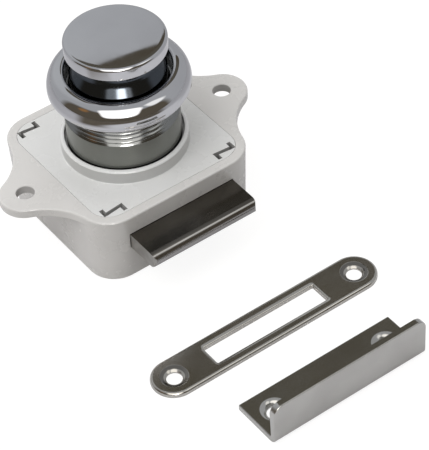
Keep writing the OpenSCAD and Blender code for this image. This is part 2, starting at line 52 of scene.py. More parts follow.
EAR_R = 6.0
EAR_X = 27.0
EAR_HOLE_R = 2.1
EAR_BLEND_R = 15.0
EAR_FILLET = 3.5
COVER_INSET = 2.3
COVER_T = 2.0
COLLAR_WALL = 1.5
RELIEF_W = 1.0
RELIEF_L = 4.4
RELIEF_EDGE = 1.4
RELIEF_BAR = 2.0
RELIEF_SLANT = 0.4
RELIEF_LEG_IN = 1.8
RELIEF_LEG_OUT = 1.5
BARREL_R = 13.0
BARREL_WALL = 1.2
THREAD_DROP = 6.1
THREAD_DEPTH = 0.45
THREAD_PITCH = 1.25
THREAD_TURNS = 4
DOOR_T = 16.0
NUT_FLANGE_T = 1.2
HUB_WALL = 1.25
MOUTH_R = 12.0
RING_GAP = 0.3
RING_SEAT = 0.4
RING_LIFT = 0.4
KNOB_NECK_R = 10.9
KNOB_HEAD_T = 3.4
KNOB_CONE_IN = 1.8
KNOB_CONE_H = 2.7
KNOB_CONE_Z = 5.5
BOLT_Z = 9.0
BOLT_T = 4.0
BOLT_LEG_IN = 9.4
BOLT_LEG_OUT = 13.4
HOLE_R = 1.8
SINK_R = 3.2
PLATE_PITCH = 49.0
SLOT_L = 30.0
SLOT_W = 5.5
ANGLE_PITCH = 30.0
ANGLE_HOLE_Y = 0.6
ANGLE_T = 1.5
ANGLE_BEND = 1.8
ANGLE_TOP_R = 2.5
SEAT_GAP = 0.05
SLIDE_GAP = 0.15

# Sizes of the dressed model alone: the cover's seam, the room between the barrel and the collar's
# upper edge, the land under a countersink, and how far its wall steps out and up at the hole
SEAM = 0.06
COLLAR_RELIEF = 0.5
SINK_LAND = 0.45
PLATE_KNEE = (0.5, 0.45)
ANGLE_KNEE = (0.5, 0.55)

# A millimetre in metres, and the steps of a full turn
MM = 0.001
SPIN_STEPS = 160


def box_mm(node):
    """Lowest and highest corner of a CAD node, in millimetres."""
    low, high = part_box(node)
    return low * 1000, high * 1000


# The case's body is square, and only its ears reach past it along x
CASE_HIGH = box_mm("case")[1]
CASE_X = CASE_Y = CASE_HIGH.y
CASE_H = CASE_HIGH.z


# Points and outlines, in millimetres

def oval(centre, half_w, half_h, start, end, steps):
    """Points on an upright ellipse about a centre, with both end angles in degrees."""
    points = []
    for i in range(steps + 1):
        a = math.radians(start + (end - start) * i / steps)
        points.append((centre[0] + half_w * math.cos(a), centre[1] + half_h * math.sin(a)))
    return points


def arc(centre, radius, start, end, steps):
    """Points on an arc about a centre, with both end angles in degrees."""
    return oval(centre, radius, radius, start, end, steps)


def side_point(angle):
    """Where a ray from the middle meets the case's rounded outline, and its outward normal."""
    ray = Vector((math.cos(angle), math.sin(angle)))
    core = Vector((CASE_X - CORNER_R, CASE_Y - CORNER_R))
    on_x = ray * (CASE_X / ray.x) if ray.x > 1e-9 else None
    if on_x is not None and on_x.y <= core.y:
        return on_x, Vector((1, 0))
    on_y = ray * (CASE_Y / ray.y)
    if on_y.x <= core.x:
        return on_y, Vector((0, 1))
    along = ray.dot(core)
    reach = along + math.sqrt(along * along - core.length_squared + CORNER_R ** 2)
    point = ray * reach
    return point, (point - core).normalized()


def quarter_stations():
    """Stations on a quarter of the case: top outline, its normal, body outline and its normal."""
    ear = Vector((EAR_X, 0))
    core = Vector((CASE_X - CORNER_R, CASE_Y - CORNER_R))
    from_ear, from_core = EAR_R + EAR_BLEND_R, CORNER_R + EAR_BLEND_R
    span = core - ear
    along = (from_ear ** 2 - from_core ** 2 + span.length_squared) / (2 * span.length)
    aside = math.sqrt(from_ear ** 2 - along ** 2)
    d = span.normalized()
    blend = ear + along * d + aside * Vector((d.y, -d.x))
    ear_end = math.atan2(blend.y - ear.y, blend.x - ear.x)
    core_end = math.atan2(blend.y - core.y, blend.x - core.x)
    tops = []
    for centre, radius, start, end, steps in [(ear, EAR_R, 0, ear_end, 16),
                                              (blend, -EAR_BLEND_R, ear_end, core_end, 22),
                                              (core, CORNER_R, core_end, math.pi / 2, 14)]:
        for i in range(steps):
            a = start + (end - start) * i / steps
            normal = Vector((math.cos(a), math.sin(a)))
            tops.append((centre + radius * normal, normal))
    back_steps = 6
    for i in range(back_steps + 1):
        tops.append((Vector((core.x * (1 - i / back_steps), CASE_Y)), Vector((0, 1))))
    return [(point, normal, *side_point(math.atan2(point.y, point.x))) for point, normal in tops]


def case_stations():
    """Stations all round the case, anticlockwise from the right ear's tip."""
    def flipped(stations, x, y):
        """The stations on the other side, in the opposite order."""
        return [tuple(Vector((v.x * x, v.y * y)) for v in s) for s in reversed(stations)]

    quarter = quarter_stations()
    half = quarter + flipped(quarter[:-1], -1, 1)
    return half + flipped(half[1:-1], 1, -1)


# Mesh helpers

def lofted(rings, closed=False):
    """A skin over rings of points in millimetres, with its ends capped, or joined if closed."""
    bm = bmesh.new()
    first = [bm.verts.new(Vector(p) * MM) for p in rings[0]]
    edges = [bm.edges.new((a, b)) for a, b in zip(first, first[1:] + first[:1])]
    first_edges = edges
    if not closed:
        bmesh.ops.contextual_create(bm, geom=edges)
    loop = first
    for ring in rings[1:]:
        made = bmesh.ops.extrude_edge_only(bm, edges=edges)["geom"]
        fresh = {v for v in made if isinstance(v, bmesh.types.BMVert)}
        edges = [e for e in made
                 if isinstance(e, bmesh.types.BMEdge) and set(e.verts) <= fresh]
        loop = [next(e.other_vert(v) for e in v.link_edges if e.other_vert(v) in fresh)
                for v in loop]
        for v, p in zip(loop, ring):
            v.co = Vector(p) * MM
    if closed:
        bmesh.ops.bridge_loops(bm, edges=edges + first_edges)
    else:
        bmesh.ops.contextual_create(bm, geom=edges)
    return bm


def spun(profile, closed=True, steps=SPIN_STEPS):
    """A turned form from a profile of (radius, height) points in millimetres."""
    bm = bmesh.new()
    verts = [bm.verts.new((r * MM, 0, z * MM)) for r, z in profile]
    pairs = zip(verts, verts[1:] + verts[:1]) if closed else zip(verts, verts[1:])
    edges = [bm.edges.new(pair) for pair in pairs]
    bmesh.ops.spin(bm, geom=verts + edges, cent=(0, 0, 0), axis=(0, 0, 1), angle=math.tau,
                   steps=steps, use_merge=True)
    return bm


def moved(bm, x, y=0):
    """Shifts a form along the floor, in millimetres."""
    bmesh.ops.translate(bm, verts=bm.verts, vec=Vector((x, y, 0)) * MM)
    return bm


def prism(points, low, high):
    """An upright prism on an outline of (x, y) points in millimetres."""
    return lofted([[(x, y, z) for x, y in points] for z in (low, high)])


def in_scene(name, data):
    """A new object in the scene."""
    obj = bpy.data.objects.new(name, data)
    bpy.context.scene.collection.objects.link(obj)
    return obj


def as_object(name, bm):
    """An object from a form, with its doubles merged and its faces turned outwards."""
    bmesh.ops.remove_doubles(bm, verts=bm.verts, dist=2e-7)
    bmesh.ops.dissolve_degenerate(bm, edges=bm.edges, dist=1e-7)
    bmesh.ops.recalc_face_normals(bm, faces=bm.faces)
    mesh = bpy.data.meshes.new(name)
    bm.to_mesh(mesh)
    bm.free()
    return in_scene(name, mesh)


def applied(obj):
    """Bakes an object's modifiers into its own mesh."""
    depsgraph = bpy.context.evaluated_depsgraph_get()
    mesh = bpy.data.meshes.new_from_object(obj.evaluated_get(depsgraph))
    obj.modifiers.clear()
    obj.data = mesh
    return obj


def rounded(obj, width, angle):
    """Breaks an object's edges that are sharper than an angle, by a width in millimetres."""
    edge = obj.modifiers.new("edge", "BEVEL")
    edge.width = width * MM
    edge.segments = 2
    edge.limit_method = "ANGLE"
    edge.angle_limit = math.radians(angle)
    edge.miter_outer = "MITER_ARC"
    return applied(obj)


def combined(obj, forms, operation):
    """Cuts forms out of an object, or joins them to it, one by one."""
    for form in forms:
        tool = as_object("tool", form)
        step = obj.modifiers.new("step", "BOOLEAN")
        step.operation = operation
        step.solver = "EXACT"
        step.object = tool
        applied(obj)
        bpy.data.objects.remove(tool)
    return obj


def softened(obj, angle=32):
    """Shades an object smooth, except over sharp edges, with its flat faces left flat."""
    bm = bmesh.new()
    bm.from_mesh(obj.data)
    for face in bm.faces:
        face.smooth = True
    limit = math.radians(angle)
    for edge in bm.edges:
        edge.smooth = len(edge.link_faces) == 2 and edge.calc_face_angle(0) < limit
    bm.to_mesh(obj.data)
    bm.free()
    flats = obj.modifiers.new("flats", "WEIGHTED_NORMAL")
    flats.mode = "FACE_AREA"
    flats.keep_sharp = True
    return applied(obj)


def seated(obj, body, node, finish):
    """Gives a piece its finish, and lets it ride on its body in place of its CAD node."""
    obj.data.materials.clear()
    obj.data.materials.append(finish)
    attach(obj, body)
    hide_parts(node)
    return obj


def painted(obj, finishes, pick):
    """Adds finishes to a piece. pick(place, normal) is a face's finish by number, or 0 for none."""
    for finish in finishes:
        obj.data.materials.append(finish)
    for face in obj.data.polygons:
        face.material_index = pick(face.center * 1000, face.normal)
    return obj


def screw_cutter(depth, knee, rim=0.15):
    """A screw hole's cutter with its countersink, which has a knee in its wall."""
    start_r, start_z = HOLE_R + knee[0], SINK_LAND + knee[1]
    grow = (SINK_R - start_r) / (depth - start_z)
    over, flare = 0.6, 0.1
    profile = [(0, -over), (HOLE_R + flare + over, -over), (HOLE_R, flare), (HOLE_R, SINK_LAND),
               (start_r, start_z), (SINK_R - rim * 0.6, depth - rim * 0.6 / grow),
               (SINK_R + rim, depth + 0.02), (SINK_R + rim + over, depth + over),
               (0, depth + over)]
    return spun(profile, closed=False, steps=64)


# Node helpers

def added(nodes, kind, values=None, **settings):
    """A new node of a kind, with its settings by name and its inputs' values by label."""
    node = nodes.new("ShaderNode" + kind)
    for name, setting in settings.items():
        setattr(node, name, setting)
    for label, value in (values or {}).items():
        node.inputs[label].default_value = value
    return node


def ranged(nodes, links, value, low, high):
    """A node that takes a value softly from 0 at low to 1 at high."""
    node = added(nodes, "MapRange", {"From Min": low, "From Max": high},
                 interpolation_type="SMOOTHSTEP")
    links.new(value, node.inputs["Value"])
    return node


def blended(nodes, links, amount, first, second):
    """One colour turning into another. A colour is plain or comes from a node, as the amount does."""
    mix = added(nodes, "Mix", data_type="RGBA")
    for place, value in zip((0, 6, 7), (amount, first, second)):
        if isinstance(value, bpy.types.NodeSocket):
            links.new(value, mix.inputs[place])
        else:
            mix.inputs[place].default_value = (*value, 1)
    return mix.outputs[2]


def mixed(nodes, links, amount, first, second):
    """One shader turning into another."""
    mix = added(nodes, "MixShader")
    for socket, value in zip(mix.inputs, (amount, first, second)):
        links.new(value, socket)
    return mix.outputs["Shader"]


def math_steps(nodes, links):
    """A function that adds math nodes, whose values are plain numbers or come from nodes."""
    def step(operation, first, second=None, clamp=False):
        """The value of one math node."""
        node = added(nodes, "Math", operation=operation, use_clamp=clamp)
        for socket, value in zip(node.inputs, (first, second)):
            if isinstance(value, (int, float)):
                socket.default_value = value
            elif value is not None:
                links.new(value, socket)
        return node.outputs["Value"]

    return step


def effect_group(name, inputs, outputs):
    """A node group with named inputs and outputs, and its first and last node."""
    group = bpy.data.node_groups.new(name, "ShaderNodeTree")
    for label, kind, value in inputs:
        socket = group.interface.new_socket(label, in_out="INPUT", socket_type="NodeSocket" + kind)
        socket.default_value = value
    for label, kind in outputs:
        group.interface.new_socket(label, in_out="OUTPUT", socket_type="NodeSocket" + kind)
    return group, group.nodes.new("NodeGroupInput"), group.nodes.new("NodeGroupOutput")


# Materials

def new_material(name):
    """A material with its nodes and links."""
    material = bpy.data.materials.new(name)
    material.use_nodes = True
    return material, material.node_tree.nodes, material.node_tree.links


def drift(group, start, top, noise_values):
    """Noise over the surface, which drifts softly from 0 to 1."""
    nodes, links = group.nodes, group.links
    noise = added(nodes, "TexNoise", noise_values)
    links.new(added(nodes, "TexCoord").outputs["Object"], noise.inputs["Vector"])
    links.new(start.outputs["Scale"], noise.inputs["Scale"])
    return ranged(nodes, links, noise.outputs["Fac"], 0.35, top)


def sheen_group():
    """Uneven sheen: a value between Low and High that drifts over the surface."""
    group, start, end = effect_group(
        "Uneven sheen", [("Scale", "Float", 120.0), ("Low", "Float", 0.05), ("High", "Float", 0.10)],
        [("Value", "Float")])
    spread = drift(group, start, 0.70, {"Detail": 5.0, "Roughness": 0.6})
    group.links.new(start.outputs["Low"], spread.inputs["To Min"])
    group.links.new(start.outputs["High"], spread.inputs["To Max"])
    group.links.new(spread.outputs["Result"], end.inputs["Value"])
    return group


def tint_group():
    """Two tints that drift into each other over the surface."""
    white = (1, 1, 1, 1)
    group, start, end = effect_group(
        "Drifting tint", [("Scale", "Float", 60.0), ("First", "Color", white),
                          ("Second", "Color", white)], [("Color", "Color")])
    spread = drift(group, start, 0.65, {"Detail": 3.0})
    colour = blended(group.nodes, group.links, spread.outputs["Result"],
                     start.outputs["First"], start.outputs["Second"])
    group.links.new(colour, end.inputs["Color"])
    return group


def grain_group():
    """Fine relief: noise stretched along a surface by Stretch, as a height."""
    group, start, end = effect_group(
        "Fine grain", [("Scale", "Float", 2500.0), ("Stretch", "Vector", (1.0, 1.0, 1.0))],
        [("Height", "Float")])
    nodes, links = group.nodes, group.links
    pull = added(nodes, "VectorMath", operation="MULTIPLY")
    noise = added(nodes, "TexNoise", {"Detail": 4.0, "Roughness": 0.55})
    links.new(added(nodes, "TexCoord").outputs["Object"], pull.inputs[0])
    links.new(start.outputs["Stretch"], pull.inputs[1])
    links.new(pull.outputs["Vector"], noise.inputs["Vector"])
    links.new(start.outputs["Scale"], noise.inputs["Scale"])
    links.new(noise.outputs["Fac"], end.inputs["Height"])
    return group


SHEEN = sheen_group()
TINT = tint_group()
GRAIN = grain_group()


def finish(name, first, second, rough, metal=0.0, grain=2500.0, relief=0.02, depth=0.02,
           stretch=(1.0, 1.0, 1.0), tint_scale=60.0, coat=0.0, level=0.5):
    """A surface with a drifting tint, an uneven sheen and a relief, its depth in millimetres."""
    material, nodes, links = new_material(name)
    shader = nodes["Principled BSDF"]
    for label, value in [("Metallic", metal), ("Coat Weight", coat), ("Coat Roughness", 0.12),
                         ("Specular IOR Level", level)]:
        shader.inputs[label].default_value = value
    tint = added(nodes, "Group", {"Scale": tint_scale, "First": (*first, 1),
                                  "Second": (*second, 1)}, node_tree=TINT)
    sheen = added(nodes, "Group", {"Scale": 120.0, "Low": rough[0], "High": rough[1]},
                  node_tree=SHEEN)
    height = added(nodes, "Group", {"Scale": grain, "Stretch": stretch}, node_tree=GRAIN)
    bump = added(nodes, "Bump", {"Strength": relief, "Distance": depth * MM})
    links.new(tint.outputs["Color"], shader.inputs["Base Color"])
    links.new(sheen.outputs["Value"], shader.inputs["Roughness"])
    links.new(height.outputs["Height"], bump.inputs["Height"])
    links.new(bump.outputs["Normal"], shader.inputs["Normal"])
    return material


# Which way each metal is worked: drawn along x or turned about z
DRAWN = (0.15, 2.0, 2.0)
BRUSHED = (0.2, 2.0, 2.0)
TURNED = (0.3, 0.3, 6.0)


def coated_white(name, first, second):
    """Moulded white with a thin gloss."""
    return finish(name, first, second, (0.24, 0.32), grain=1500.0, relief=0.015, coat=0.5,
                  level=0.7)


def chrome(name, first, second, rough, relief):
    """Polished chrome."""
    return finish(name, first, second, rough, metal=1.0, grain=300.0, relief=relief, depth=0.01)


def bolt_nickel(name, first, second, rough):
    """Dull nickel, drawn along the bolt."""
    return finish(name, first, second, rough, metal=1.0, grain=700.0, relief=0.03, depth=0.01,
                  stretch=DRAWN)


def nickel(name, first, second, rough, stretch=BRUSHED):
    """Nickel of the two strikes."""
    return finish(name, first, second, rough, metal=1.0, grain=900.0, relief=0.06, depth=0.01,
                  stretch=stretch)


case_white = coated_white("Moulded white", (0.70, 0.685, 0.665), (0.665, 0.65, 0.63))
cover_white = coated_white("Cover white", (0.76, 0.76, 0.75), (0.725, 0.725, 0.71))
# Painted light on the collar: a lighter copy of the cover white on its top, and a darker one, painted
# shade, on its side
collar_top_painted_light = coated_white("Collar top painted light", (0.82, 0.82, 0.81), (0.78, 0.78, 0.765))
collar_side_painted_shade = finish("Collar side painted shade", (0.54, 0.54, 0.53), (0.50, 0.50, 0.485), (0.3, 0.4),
                     grain=1500.0, relief=0.03)
# Painted shade: a darker white for the walls of the ear holes and of the cover's cuts
painted_shade_white = finish("Painted shade white", (0.46, 0.45, 0.44), (0.38, 0.37, 0.36), (0.5, 0.6),
                      grain=1500.0, relief=0.10, depth=0.03)
stack_chrome = chrome("Stack chrome", (0.66, 0.66, 0.68), (0.62, 0.62, 0.64), (0.02, 0.05), 0.02)
# Painted shade: a dark copy of the chrome for the knob's neck under its head and for the rosette's
# mouth
neck_chrome_painted_shade = chrome("Neck chrome painted shade", (0.085, 0.095, 0.11), (0.07, 0.08, 0.092), (0.12, 0.18), 0.01)
barrel_metal = finish("Barrel metal", (0.31, 0.315, 0.31), (0.26, 0.265, 0.26), (0.11, 0.17),
                      metal=1.0, grain=900.0, relief=0.05, depth=0.03, stretch=TURNED)
sleeve_metal = finish("Sleeve metal", (0.20, 0.206, 0.188), (0.18, 0.185, 0.168), (0.30, 0.38),
                      metal=0.40, grain=900.0, relief=0.06, depth=0.03, stretch=TURNED,
                      tint_scale=25.0)
# Painted shade: near black, for the sleeve's foot in the collar, so that the gap there reads dark
sleeve_foot_painted_shade = finish("Sleeve foot painted shade", (0.012, 0.012, 0.012), (0.01, 0.01, 0.01), (0.6, 0.7),
                     grain=900.0, relief=0.06, depth=0.03, level=0.1)
# The bolt is one metal in three tones: a darker top, painted light on its ends and a painted
# highlight along its nose
bolt_metal = bolt_nickel("Bolt nickel", (0.148, 0.139, 0.125), (0.115, 0.105, 0.091), (0.20, 0.28))
bolt_nose_painted_highlight = bolt_nickel("Bolt nose painted highlight", (0.38, 0.37, 0.36), (0.31, 0.30, 0.29), (0.16, 0.22))
bolt_end_painted_light = finish("Bolt end painted light", (0.38, 0.37, 0.35), (0.29, 0.28, 0.26), (0.32, 0.44), metal=0.8,
                   grain=1200.0, relief=0.10, depth=0.03, tint_scale=260.0)
strike_nickel = nickel("Strike nickel", (0.58, 0.56, 0.52), (0.50, 0.48, 0.445), (0.14, 0.20))
angle_nickel = nickel("Angle nickel", (0.60, 0.59, 0.565), (0.53, 0.52, 0.495), (0.12, 0.18))
# Painted shade: a darker nickel for the dished walls of the strike plate's countersinks
countersink_painted_shade = nickel("Countersink painted shade", (0.25, 0.238, 0.22), (0.20, 0.19, 0.175), (0.08, 0.13),
                     stretch=(1.0, 1.0, 1.0))
inner_steel = finish("Inner steel", (0.48, 0.48, 0.48), (0.42, 0.42, 0.42), (0.22, 0.34),
                     metal=1.0, grain=1500.0, relief=0.10, depth=0.03)
spring_steel = finish("Spring wire", (0.55, 0.55, 0.54), (0.48, 0.48, 0.48), (0.18, 0.28),
                      metal=1.0, grain=3000.0, relief=0.06)
ring_rubber = finish("Stop rubber", (0.018, 0.018, 0.018), (0.026, 0.026, 0.026), (0.55, 0.75),
                     grain=3000.0, relief=0.20, depth=0.05)
plunger_black = finish("Plunger black", (0.030, 0.030, 0.033), (0.024, 0.024, 0.026),
                       (0.40, 0.55), relief=0.15, depth=0.04)
slide_grey = finish("Slide grey", (0.40, 0.42, 0.45), (0.36, 0.38, 0.41), (0.35, 0.5),
                    relief=0.15, depth=0.04)


# Moulded case and cover

def lean(z):
    """How far the case's drafted side stands in at a height."""
    return DRAFT * (1 - z / CASE_H)


def body_ring(stations, inset, z):
    """A ring set in from the case's body."""
    ring = []
    for _, _, body, normal in stations:
        p = body - normal * inset
        ring.append((p.x, p.y, z))
    return ring


def fillet_ring(stations, angle, low_r, z):
    """A ring of the fillet that carries the ears, by how far it has turned towards them."""
    ring = []
    for top, _, body, normal in stations:
        reach = (top - body).length
        away = (top - body).normalized() if reach > 1e-6 else normal
        out = min(EAR_FILLET, 0.8 * max(reach - low_r, 0)) * (1 - math.cos(angle))
        keep = min(1, max(0, 1 - out / 0.4))
        p = body + away * out - normal * lean(z) * keep
        ring.append((p.x, p.y, z))
    return ring


def ear_edge_ring(stations, angle, low_r, z):
    """A ring of the ears' rounded lower edge, which fades where the body has no ear."""
    ring = []
    for top, top_normal, body, normal in stations:
        reach = (top - body).length
        small = min(low_r, reach / 3)
        fade = 1 - min(1, reach / 0.5)
        p = top - top_normal * small * (1 - math.sin(angle)) - normal * lean(z) * fade
        ring.append((p.x, p.y, z))
    return ring


def case_rings(stations):
    """Rings from the case's foot up its side, over the ears and down into its hollow."""
    foot_r, low_r, top_r, lip_r = 0.5, 0.35, 0.45, 0.06
    ear_z = CASE_H - EAR_T
    rings = [body_ring(stations, inset + lean(z), z)
             for inset, z in arc((foot_r, foot_r), foot_r, 270, 180, 4)]
    for i in range(1, 4):
        z = foot_r + (ear_z - EAR_FILLET - foot_r) * i / 4
        rings.append(body_ring(stations, lean(z), z))
    for i in range(11):
        a = math.radians(90 * i / 10)
        rings.append(fillet_ring(stations, a, low_r, ear_z - EAR_FILLET * (1 - math.sin(a))))
    for i in range(5):
        a = math.radians(90 * i / 4)
        rings.append(ear_edge_ring(stations, a, low_r, ear_z + low_r * (1 - math.cos(a))))
    for inset, z in arc((top_r, CASE_H - top_r), top_r, 180, 90, 5):
        ring = [top - normal * inset for top, normal, _, _ in stations]
        rings.append([(p.x, p.y, z) for p in ring])
    edge, wall, cover_z = COVER_INSET - SEAM, WALL + DRAFT, CASE_H - COVER_T
    for inset, z in [(edge - lip_r, CASE_H), (edge - lip_r * 0.3, CASE_H - lip_r * 0.3),
                     (edge, CASE_H - lip_r), (edge, cover_z), (wall, cover_z), (wall, FLOOR)]:
        rings.append(body_ring(stations, inset, z))
    return rings


def ear_hole_cutter(side):
    """An ear's screw hole, with both its edges broken."""
    low, high, over, rim = CASE_H - EAR_T, CASE_H, 1.0, 0.22
    profile = [(0, low - over), (EAR_HOLE_R + over, low - over), (EAR_HOLE_R + rim, low - 0.01),
               (EAR_HOLE_R, low + rim), (EAR_HOLE_R, high - rim),
               (EAR_HOLE_R + rim * 0.3, high - rim * 0.3), (EAR_HOLE_R + rim, high + 0.01),
               (EAR_HOLE_R + over, high + over), (0, high + over)]
    return moved(spun(profile, closed=False, steps=64), side * EAR_X)


def bolt_slot_cutter():
    """The slot that the bolt leaves by, with clearance all round."""
    half = box_mm("bolt")[1].x + SLIDE_GAP
    outer, inner = -CASE_Y - 1, -(CASE_Y - DRAFT - WALL) + 0.4
    points = [(-half, outer), (half, outer), (half, inner), (-half, inner)]
    return prism(points, BOLT_Z - SLIDE_GAP, BOLT_Z + BOLT_T + SLIDE_GAP)


def make_case(stations):
    """Case: a moulded shell with its ears, their holes and the bolt's slot."""
    def in_ear_hole(place, normal):
        """Whether a face is the wall of an ear's hole."""
        away = math.hypot(abs(place.x) - EAR_X, place.y)
        return int(away < EAR_HOLE_R + 0.02 and abs(normal.z) < 0.5)

    shell = as_object("case_shell", lofted(case_rings(stations)))
    cutters = [ear_hole_cutter(1), ear_hole_cutter(-1), bolt_slot_cutter()]
    softened(combined(shell, cutters, "DIFFERENCE"), 30)
    seated(shell, "case_body", "case", case_white)
    # The walls of the ear holes get painted shade
    painted(shell, [painted_shade_white], in_ear_hole)


def cover_rings(stations):
    """Rings from the cover's edge over its face, up the collar and down inside it."""
    bore, low, top = BARREL_R + SEAT_GAP, CASE_H - COVER_T, box_mm("cover")[1].z
    out, mouth = bore + COLLAR_WALL, bore + COLLAR_RELIEF
    root, tip, lip, edge = 0.3, 0.7, 0.15, 0.06
    rings = [body_ring(stations, inset, z)
             for inset, z in [(COVER_INSET, low), (COVER_INSET, CASE_H - edge),
                              (COVER_INSET + edge * 0.3, CASE_H - edge * 0.3),
                              (COVER_INSET + edge, CASE_H)]]
    profile = arc((out + root, CASE_H + root), root, 270, 180, 6)
    profile += arc((out - tip, top - tip), tip, 0, 90, 5)
    profile += arc((mouth + lip, top - lip), lip, 90, 180, 3)
    profile += [(mouth, top - 1.2), (bore, top - 1.4), (bore, low)]
    for r, z in profile:
        rings.append([(r * b.x / b.length, r * b.y / b.length, z) for _, _, b, _ in stations])
    return rings


def relief_cutters():
    """The four Z-shaped cuts near the cover's corners."""
    edge, half = CASE_X - COVER_INSET, RELIEF_W / 2
    leg, bar = RELIEF_EDGE - edge, RELIEF_BAR - edge
    end, end_bar = leg + RELIEF_L, bar + RELIEF_SLANT
    inner, outer = bar + RELIEF_LEG_IN, bar - RELIEF_LEG_OUT
    points = [(leg, bar - half), (leg + RELIEF_W, bar - half), (end, end_bar - half),
              (end, outer), (end + RELIEF_W, outer), (end + RELIEF_W, end_bar + half),
              (leg + RELIEF_W, bar + half), (leg + RELIEF_W, inner), (leg, inner)]
    cutters = []
    for turn in (0, math.pi):
        for flip in (1, -1):
            bm = prism(points, CASE_H - COVER_T - 0.5, CASE_H + 0.5)
            bmesh.ops.scale(bm, vec=(flip, 1, 1), verts=bm.verts)
            bmesh.ops.rotate(bm, matrix=Matrix.Rotation(turn, 3, "Z"), verts=bm.verts)
            cutters.append(bm)
    return cutters


def make_cover(stations):
    """Cover: a plate in the case's rim, with a collar and four cuts."""
    def zone(place, normal):
        """1, painted shade, in the cuts, 2, painted light, on the collar's top and 3, painted shade,
        on its side.
        """
        x, y, away = abs(place.x), abs(place.y), math.hypot(place.x, place.y)
        corner = math.hypot(max(x - CASE_X + CORNER_R, 0), max(y - CASE_Y + CORNER_R, 0))
        steep = abs(normal.z) < 0.3
        if steep and corner < CORNER_R - COVER_INSET - 0.25 and away > BARREL_R + 4:
            return 1
        if place.z > CASE_H + 0.2 and away > BARREL_R + COLLAR_RELIEF:
            return 3 if steep else 2
        return 0

    plate = as_object("cover_plate", lofted(cover_rings(stations), closed=True))
    softened(combined(plate, relief_cutters(), "DIFFERENCE"), 30)
    seated(plate, "case_body", "cover", cover_white)
    painted(plate, [painted_shade_white, collar_top_painted_light, collar_side_painted_shade], zone)


# The chromed stack

def make_barrel():
    """Barrel: a threaded tube whose plain part, the sleeve, is dull, with painted shade at its foot
    in the collar.
    """
    low, high = box_mm("barrel")
    flange_r, flange_top, edge = high.x, CASE_H - COVER_T, 0.2
    bore = BARREL_R - BARREL_WALL
    seat_r, seat_z = bore + RING_SEAT, CASE_H + DOOR_T + RING_LIFT
    first = CASE_H + DOOR_T - THREAD_DROP
    foot = box_mm("cover")[1].z - 0.1
    root, shoulder, run_in = BARREL_R - THREAD_DEPTH, BARREL_R - 0.05, 0.25
    thread = [(BARREL_R, first - 0.3), (shoulder, first - 0.2), (root, first + run_in)]
    for i in range(THREAD_TURNS):
        z = first + run_in + i * THREAD_PITCH
        thread += [(root, z + 0.25), (shoulder, z + 0.6), (BARREL_R, z + 0.68),
                   (shoulder, z + 0.76), (root, z + 1.1)]
    profile = [(bore, low.z), (flange_r - edge, low.z), (flange_r, low.z + edge),
               (flange_r, flange_top), (BARREL_R, flange_top), (BARREL_R, foot), *thread,
               (root, high.z), (seat_r, high.z), (seat_r, seat_z), (bore, seat_z)]

    def zone(place, _):
        """1 on the sleeve and inside the tube, 2, near-black painted shade, on the outside below the
        collar's top.
        """
        inside = math.hypot(place.x, place.y) < seat_r + 0.1
        if place.z < foot and not inside:
            return 2
        return int(inside or place.z < first - 0.1)

    tube = softened(as_object("barrel_tube", spun(profile)), 40)
    seated(tube, "case_body", "barrel", barrel_metal)
    painted(tube, [sleeve_metal, sleeve_foot_painted_shade], zone)


def make_stop_ring():
    """Stop ring: a band in the barrel's mouth, rounded at its inner edge."""
    low, high = box_mm("stop_ring")
    inner, edge = KNOB_NECK_R + RING_GAP, 0.25
    profile = [(inner, low.z), (high.x, low.z), (high.x, high.z)]
    profile += arc((inner + edge, high.z - edge), edge, 90, 180, 4)
    ring = softened(as_object("stop_ring_band", spun(profile)))
    seated(ring, "case_body", "stop_ring", inner_steel)


def make_clamp_nut():
    """Clamp nut: a rounded flange, and a hub that is hidden in the rosette."""
    low, high = box_mm("clamp_nut")
    bore, edge, r = BARREL_R + SEAT_GAP, 0.1, 0.45
    hub_r, top = bore + HUB_WALL, low.z + NUT_FLANGE_T
    profile = [(bore, low.z + edge), (bore + edge, low.z)]
    profile += arc((high.x - r, low.z + r), r, 270, 360, 5)
    profile += arc((high.x - r, top - r), r, 0, 90, 5)
    profile += [(hub_r, top), (hub_r, high.z), (bore, high.z)]
    nut = softened(as_object("clamp_nut_flange", spun(profile)), 40)
    seated(nut, "case_body", "clamp_nut", stack_chrome)


def make_rosette():
    """Rosette: a full bulge that rolls over into a thin lip round the mouth."""
    low, high = box_mm("rosette")
    lip, bulge_z = 0.7, 0.5
    crown_r = MOUTH_R + lip
    half_w, half_h = high.x - crown_r, high.z - low.z - bulge_z
    start = -math.degrees(math.asin(bulge_z / half_h))
    hub, seat_z = BARREL_R + HUB_WALL + 2 * SEAT_GAP, box_mm("barrel")[1].z + SEAT_GAP
    profile = [(hub, low.z)]
    profile += oval((crown_r, high.z - half_h), half_w, half_h, start, 90, 36)
    profile += arc((crown_r, high.z - lip), lip, 90, 180, 10)
    profile += [(MOUTH_R, seat_z), (hub, seat_z)]
    ring = softened(as_object("rosette_bulge", spun(profile)), 40)
    seated(ring, "case_body", "rosette", stack_chrome)
    # The rosette's mouth gets painted shade
    painted(ring, [neck_chrome_painted_shade],
            lambda place, _: int(math.hypot(place.x, place.y) < MOUTH_R + 0.02))


